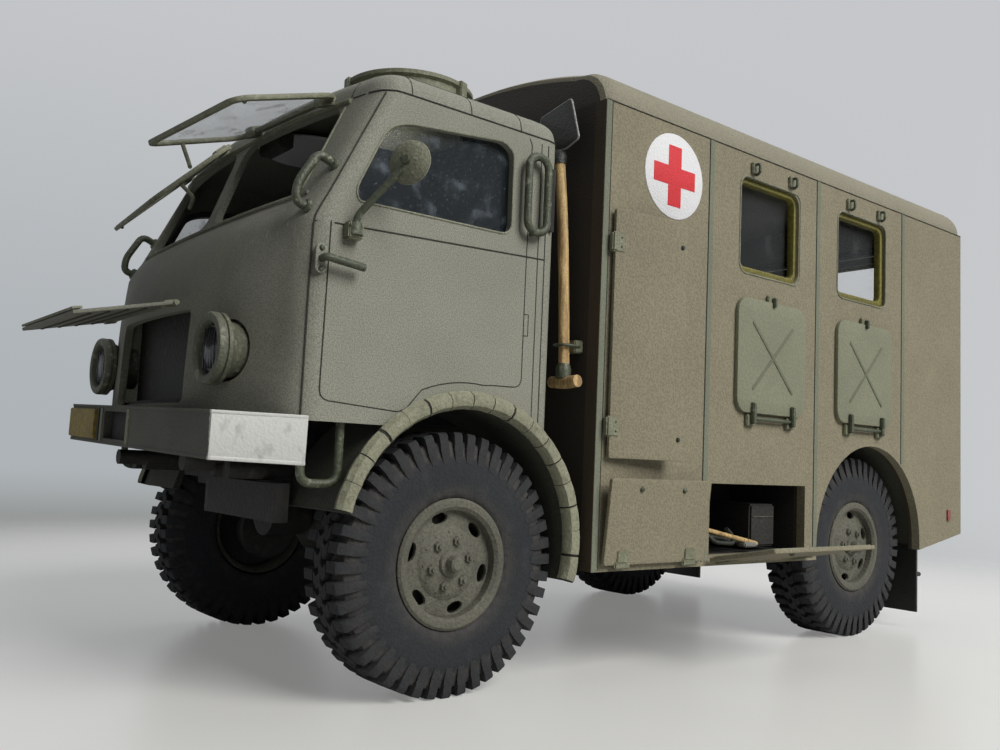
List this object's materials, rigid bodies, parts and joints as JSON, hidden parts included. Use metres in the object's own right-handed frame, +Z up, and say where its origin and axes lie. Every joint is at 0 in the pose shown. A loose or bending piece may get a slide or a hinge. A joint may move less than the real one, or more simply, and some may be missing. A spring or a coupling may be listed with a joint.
{
  "type": "military ambulance truck model",
  "caption": "Card scale model of a light forward-control army ambulance with open windscreens, ajar locker doors and a van body.",
  "frame": {"origin": "centre of the footprint, on the surface that the wheels stand on", "axes": "+Z up, -Y towards the nose, +X towards the vehicle's left side"},
  "size_m": [0.0868, 0.1573, 0.0829],
  "materials": {
    "olive_card": "matt printed card",
    "green_paint": "matt painted card and wire",
    "tyre_card": "matt dark card",
    "wheel_card": "matt painted card",
    "clear_film": "clear film",
    "dark_card": "matt",
    "pale_card": "matt",
    "yellow_paint": "matt",
    "red_film": "satin",
    "wood": "bare"
  },
  "bodies": {
    "truck": {"chassis": "dark_card", "front_axle": "dark_card", "rear_axle": "dark_card", "engine": "dark_card", "cab_shell": "olive_card", "cab_top": "olive_card", "hatch_ring": "green_paint", "cab_floor": "dark_card", "seats": "dark_card", "steering_wheel": "dark_card", "headlamps": "green_paint", "lamp_glass": "clear_film", "bumper": "green_paint", "fenders": "olive_card", "fender_lips": "green_paint", "step_loops": "green_paint", "cab_handles": "green_paint", "mirrors": "green_paint", "door_glass": "clear_film", "van_side_left": "olive_card", "van_side_right": "olive_card", "van_ends": "olive_card", "van_floor": "olive_card", "van_roof": "olive_card", "window_frames": "yellow_paint", "van_glass": "clear_film", "lockers_left": "olive_card", "lockers_right": "olive_card", "shutters": "green_paint", "shutter_clips": "green_paint", "mud_flaps": "dark_card", "tow_hook": "dark_card", "rear_lamps": "red_film", "bunks": "pale_card", "locker_load": "dark_card", "shovel": "wood", "shovel_clip": "green_paint"},
    "wheel_front_left": {"tyre_front_left": "tyre_card", "rim_front_left": "wheel_card"},
    "wheel_front_right": {"tyre_front_right": "tyre_card", "rim_front_right": "wheel_card"},
    "wheel_rear_left": {"tyre_rear_left": "tyre_card", "rim_rear_left": "wheel_card"},
    "wheel_rear_right": {"tyre_rear_right": "tyre_card", "rim_rear_right": "wheel_card"},
    "windscreen_left": {"screen_left": "green_paint", "screen_glass_left": "clear_film"},
    "windscreen_right": {"screen_right": "green_paint", "screen_glass_right": "clear_film"},
    "nose_flap_body": {"nose_flap": "olive_card"},
    "tall_door_left_body": {"tall_door_left": "olive_card"},
    "tall_door_right_body": {"tall_door_right": "olive_card"},
    "front_flap_left_body": {"front_flap_left": "olive_card"},
    "front_flap_right_body": {"front_flap_right": "olive_card"},
    "middle_flap_left_body": {"middle_flap_left": "olive_card"},
    "middle_flap_right_body": {"middle_flap_right": "olive_card"},
    "rear_door_left_body": {"rear_door_left": "olive_card"},
    "rear_door_right_body": {"rear_door_right": "olive_card"}
  },
  "joints": [
    {"name": "wheel_front_left_spin", "type": "hinge", "parent": "truck", "child": "wheel_front_left", "pos_m": [0.0251, -0.0404, 0.01495], "axis": [1, 0, 0], "continuous": true},
    {"name": "wheel_front_right_spin", "type": "hinge", "parent": "truck", "child": "wheel_front_right", "pos_m": [-0.0251, -0.0404, 0.01495], "axis": [1, 0, 0], "continuous": true},
    {"name": "wheel_rear_left_spin", "type": "hinge", "parent": "truck", "child": "wheel_rear_left", "pos_m": [0.0251, 0.044, 0.01495], "axis": [1, 0, 0], "continuous": true},
    {"name": "wheel_rear_right_spin", "type": "hinge", "parent": "truck", "child": "wheel_rear_right", "pos_m": [-0.0251, 0.044, 0.01495], "axis": [1, 0, 0], "continuous": true},
    {"name": "windscreen_left_hinge", "type": "hinge", "parent": "truck", "child": "windscreen_left", "pos_m": [0.0014, -0.0575, 0.067], "axis": [0.9969, 0.0785, 0], "range_deg": [-8, 50.8]},
    {"name": "windscreen_right_hinge", "type": "hinge", "parent": "truck", "child": "windscreen_right", "pos_m": [-0.0014, -0.0575, 0.067], "axis": [0.9969, -0.0785, 0], "range_deg": [-34, 24.4]},
    {"name": "nose_flap_hinge", "type": "hinge", "parent": "truck", "child": "nose_flap_body", "pos_m": [0, -0.0681, 0.0429], "axis": [1, 0, 0], "range_deg": [-8, 77]},
    {"name": "tall_door_left_hinge", "type": "hinge", "parent": "truck", "child": "tall_door_left_body", "pos_m": [0.03265, -0.0201, 0.028], "axis": [0, 0, 1], "range_deg": [-92, 8]},
    {"name": "front_flap_left_hinge", "type": "hinge", "parent": "truck", "child": "front_flap_left_body", "pos_m": [0.03265, -0.0104, 0.0145], "axis": [0, 1, 0], "range_deg": [-6, 90]},
    {"name": "middle_flap_left_hinge", "type": "hinge", "parent": "truck", "child": "middle_flap_left_body", "pos_m": [0.03265, 0.0126, 0.0145], "axis": [0, 1, 0], "range_deg": [-78, 20]},
    {"name": "rear_door_left_hinge", "type": "hinge", "parent": "truck", "child": "rear_door_left_body", "pos_m": [0.0194, 0.0765, 0.0494], "axis": [0, 0, 1], "range_deg": [-105, 0]},
    {"name": "tall_door_right_hinge", "type": "hinge", "parent": "truck", "child": "tall_door_right_body", "pos_m": [-0.03265, -0.0201, 0.028], "axis": [0, 0, -1], "range_deg": [-92, 8]},
    {"name": "front_flap_right_hinge", "type": "hinge", "parent": "truck", "child": "front_flap_right_body", "pos_m": [-0.03265, -0.0104, 0.0145], "axis": [0, -1, 0], "range_deg": [-6, 90]},
    {"name": "middle_flap_right_hinge", "type": "hinge", "parent": "truck", "child": "middle_flap_right_body", "pos_m": [-0.03265, 0.0126, 0.0145], "axis": [0, -1, 0], "range_deg": [-78, 20]},
    {"name": "rear_door_right_hinge", "type": "hinge", "parent": "truck", "child": "rear_door_right_body", "pos_m": [-0.0194, 0.0765, 0.0494], "axis": [0, 0, -1], "range_deg": [-105, 0]}
  ]
}
